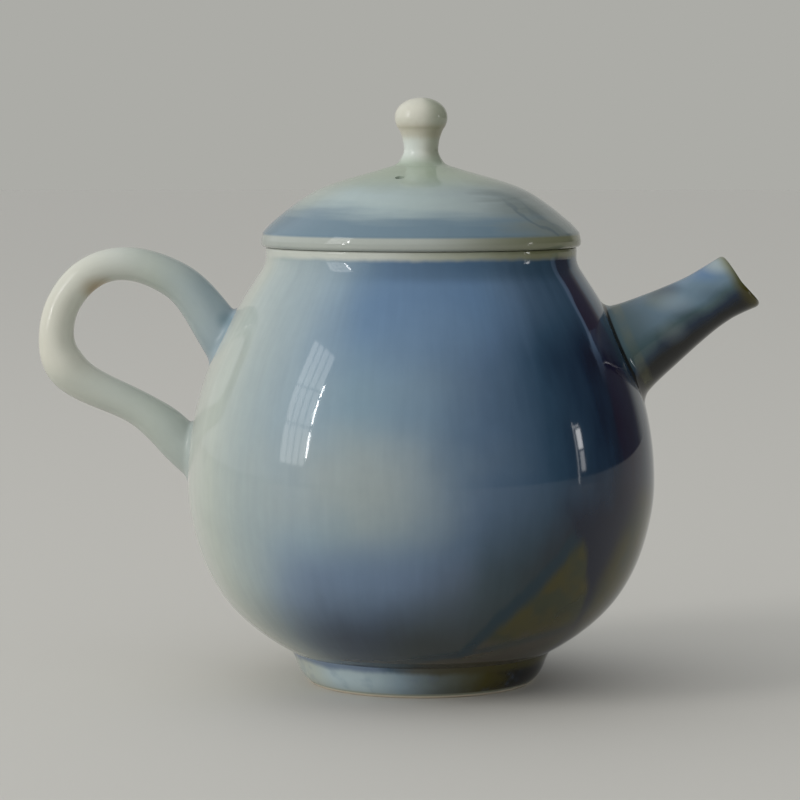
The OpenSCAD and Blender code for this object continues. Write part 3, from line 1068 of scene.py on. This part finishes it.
def make_lid():
    bore = FLANGE_R - FLANGE_T
    hollow = [p for p in inset(DOME_CURVE, LID_T) if p[0] < bore]
    seat = LID_Z - 0.15                   # its lower edge all but touches the neck
    low, rim = 1.0, 1.5                   # rounding of the rim below and above
    outline = [[0, LID_HIGH[2] - LID_T], *reversed(hollow),
               [bore, LID_Z], [bore + 0.3, seat],
               *arc((LID_R - low, seat + low), low, -90, 0),
               *arc((LID_R - rim, LID_Z + rim), rim, 0, 20), *DOME_CURVE,
               [0, LID_HIGH[2]]]
    points, faces = revolve(outline)
    made = piece("lid_dome", points, faces, [lid_glaze()], "cover", ["lid"],
                 TURNED_SHARP)
    turn = math.radians(-90 - VENT_TURN)
    vent = (VENT_OUT * math.cos(turn), VENT_OUT * math.sin(turn), LID_Z + DOME_H)
    pierce(made, [drill_bit(VENT_R, vent, (0, 0, 1), 2 * DOME_H)], TURNED_SHARP)


def make_flange():
    inner, low = FLANGE_R - FLANGE_T, FLANGE_LOW[2]
    soft = 0.8                            # rounding of its lower edges
    outline = [[FLANGE_R, LID_Z], [inner, LID_Z],
               *arc((inner + soft, low + soft), soft, 180, 270),
               *arc((FLANGE_R - soft, low + soft), soft, 270, 360)]
    points, faces = revolve(outline)
    piece("lid_collar", points, faces, [bare_porcelain()], "cover", ["lid_flange"],
          TURNED_SHARP)


# the knob's root: radius, and how far above the dome
ROOT_SHAPE = [(13.0, -0.04), (11.6, 0.0), (10.2, 0.06)]
# its stem: how far outside the thinnest part, and how high above the stem's foot
STEM_SHAPE = [(4.2, 0.17), (2.7, 0.6), (1.3, 1.5), (0.15, 3.6), (0.0, 5.2), (0.4, 7.6),
              (1.2, 9.7)]
# its ball: radius, and height above the ball's middle, as shares of the ball's radius
BALL_SHAPE = [(0.92, -0.29), (1.0, 0.0), (0.94, 0.31), (0.75, 0.55), (0.47, 0.71),
              (0.21, 0.775), (0.0, 0.79)]


def make_knob():
    low, ball = KNOB_LOW[2], KNOB_HIGH[2] - KNOB_R * 0.8
    stations = [(r, dome_z(r) + up) for r, up in ROOT_SHAPE]
    stations += [(STEM_R + out, low + up) for out, up in STEM_SHAPE]
    stations += [(KNOB_R * out, ball + KNOB_R * up) for out, up in BALL_SHAPE]
    sunk, base_r = 0.6, 12.6              # its hidden underside, a little in the dome
    outline = [[0, low - sunk], [base_r, dome_z(base_r) - sunk],
               *smooth_to_axis(stations, 12, 1)]
    points, faces = revolve(outline, 128)
    piece("knob_ball", points, faces, [knob_glaze()], "cover", ["knob"])


# ---- stage ----

FLOOR = seen(200, 197, 190)
BACKDROP = seen(172, 172, 167)
DAYLIGHT = (0.97, 0.99, 1.0, 1.0)
SOFT_DARK, SOFT_LIGHT = 0.30, 0.95    # the soft light's radiance on either side
ROOM_DARK, ROOM_LIGHT = 0.08, 0.80    # and that of the room that the glaze reflects


def make_floor():
    half = 8.0                            # of its width, in metres
    mesh = bpy.data.meshes.new("floor")
    mesh.from_pydata([(-half, -half, 0), (half, -half, 0), (half, half, 0), (-half, half, 0)],
                     [], [(0, 1, 2, 3)])
    material = bpy.data.materials.new("floor")
    material.use_nodes = True
    shader = material.node_tree.nodes["Principled BSDF"]
    shader.inputs["Base Color"].default_value = FLOOR
    shader.inputs["Roughness"].default_value = 0.7
    mesh.materials.append(material)
    floor = placed("floor", mesh)


def towards(azimuth, elevation):
    """The direction in which the pot sees that azimuth and elevation, in degrees."""
    a, e = math.radians(azimuth), math.radians(elevation)
    return Vector((math.sin(a) * math.cos(e), -math.cos(a) * math.cos(e), math.sin(e)))


def background(nodes, colour, strength=1.0):
    n = nodes.node("ShaderNodeBackground")
    nodes.put(n.inputs["Color"], colour)
    nodes.put(n.inputs["Strength"], strength)
    return n.outputs[0]


def either(nodes, amount, a, b):
    """Background a where the amount is 0, and b where it is 1."""
    n = nodes.node("ShaderNodeMixShader")
    for socket, value in zip(n.inputs, (amount, a, b)):
        nodes.put(socket, value)
    return n.outputs[0]


def make_world():
    """Soft light that is strongest from the left and front. The camera and the glaze
    see the room itself: a pale backdrop behind the pot, a dark right side and a light
    left one."""
    world = bpy.data.worlds.new("studio")
    world.use_nodes = True
    nodes = Nodes(world.node_tree)
    way = nodes.node("ShaderNodeTexCoord").outputs["Generated"]
    side = nodes.vector("DOT_PRODUCT", way, towards(-75, 25)).outputs["Value"]
    parts = nodes.node("ShaderNodeSeparateXYZ")
    nodes.put(parts.inputs[0], way)
    soft = background(nodes, DAYLIGHT, nodes.fade(side, -1.0, 1.0, SOFT_DARK, SOFT_LIGHT))
    room = background(nodes, DAYLIGHT, nodes.fade(side, -0.5, 0.9, ROOM_DARK, ROOM_LIGHT))
    behind = nodes.fade(parts.outputs["Y"], 0.72, 0.86)
    room = either(nodes, behind, room, background(nodes, BACKDROP))
    ray = nodes.node("ShaderNodeLightPath")
    seen_by = ray.outputs["Is Camera Ray"]
    for kind in ("Is Glossy Ray", "Is Transmission Ray"):
        seen_by = nodes.math("MAXIMUM", seen_by, ray.outputs[kind])
    out = nodes.node("ShaderNodeOutputWorld")
    nodes.put(out.inputs[0], either(nodes, seen_by, soft, room))
    bpy.context.scene.world = world


def window(name, azimuth, elevation, distance, panes, shows=True):
    """A window seen from the pot at that azimuth and elevation. Each pane is (across,
    up, width, height, radiance), measured from the window's middle, in metres for each
    metre of distance. It shows in the glaze, or only lights it."""
    middle = Vector((0, 0, 0.06))         # of the pot, in metres
    way = towards(azimuth, elevation)
    turn = (-way).to_track_quat("-Z", "Y")
    for i, (*sizes, radiance) in enumerate(panes):
        across, up, width, height = [size * distance for size in sizes]
        data = bpy.data.lights.new(f"{name}_{i}", "AREA")
        data.shape = "RECTANGLE"
        data.size, data.size_y = width, height
        data.energy = radiance * math.pi * width * height
        lamp = placed(f"{name}_{i}", data)
        lamp.location = middle + way * distance + turn @ Vector((across, up, 0))
        lamp.rotation_euler = turn.to_euler()
        lamp.visible_glossy = shows


def barred(columns, rows, middle, width, height, bar, radiance):
    """The panes of a window with bars between them."""
    w = (width - bar * (columns - 1)) / columns
    h = (height - bar * (rows - 1)) / rows
    return [(middle + (c - (columns - 1) / 2) * (w + bar),
             (r - (rows - 1) / 2) * (h + bar), w, h, radiance)
            for c in range(columns) for r in range(rows)]


def make_windows():
    """At the left a tall dim window with a bright slit, and behind it the soft lamp that
    lights the pot. Low at the right, a small window."""
    window("lamp_left", -62, 23, 2.2, [(0, 0, 0.352, 0.648, 2.5)], False)
    slit = [(0.088, 0.120, 0.0105, 0.084, 45.0), (0.088, -0.016, 0.0105, 0.147, 45.0),
            (0.088, -0.205, 0.0105, 0.153, 45.0)]
    pale = barred(4, 3, -0.053, 0.253, 0.653, 0.0105, 2.6)
    window("window_left", -62, 23, 2.0, pale + slit)
    window("window_right", 84, 5, 1.4, [
        (0.000, 0.080, 0.058, 0.094, 8.0), (0.0044, -0.0244, 0.049, 0.094, 3.5),
        (-0.051, 0.022, 0.011, 0.289, 3.5), (-0.0167, 0.142, 0.078, 0.011, 4.0)])


def make_camera():
    """The photograph's view: low, from a little under a metre, with the pot's axis
    a little right of the middle."""
    distance, height = 0.795, 0.1393
    pitch, turn, field = [math.radians(a) for a in (4.79, 0.389, 14.74)]
    data = bpy.data.cameras.new("camera")
    data.sensor_fit = "HORIZONTAL"
    data.angle = field
    camera = placed("camera", data)
    camera.location = (0, -distance, height)
    camera.rotation_euler = (math.pi / 2 - pitch, 0, turn)
    bpy.context.scene.camera = camera


make_camera()
make_pot()
make_neck()
make_foot()
make_handle()
make_spout()
make_lid()
make_flange()
make_knob()
make_floor()
make_world()
make_windows()
bpy.context.scene.view_settings.view_transform = "Standard"
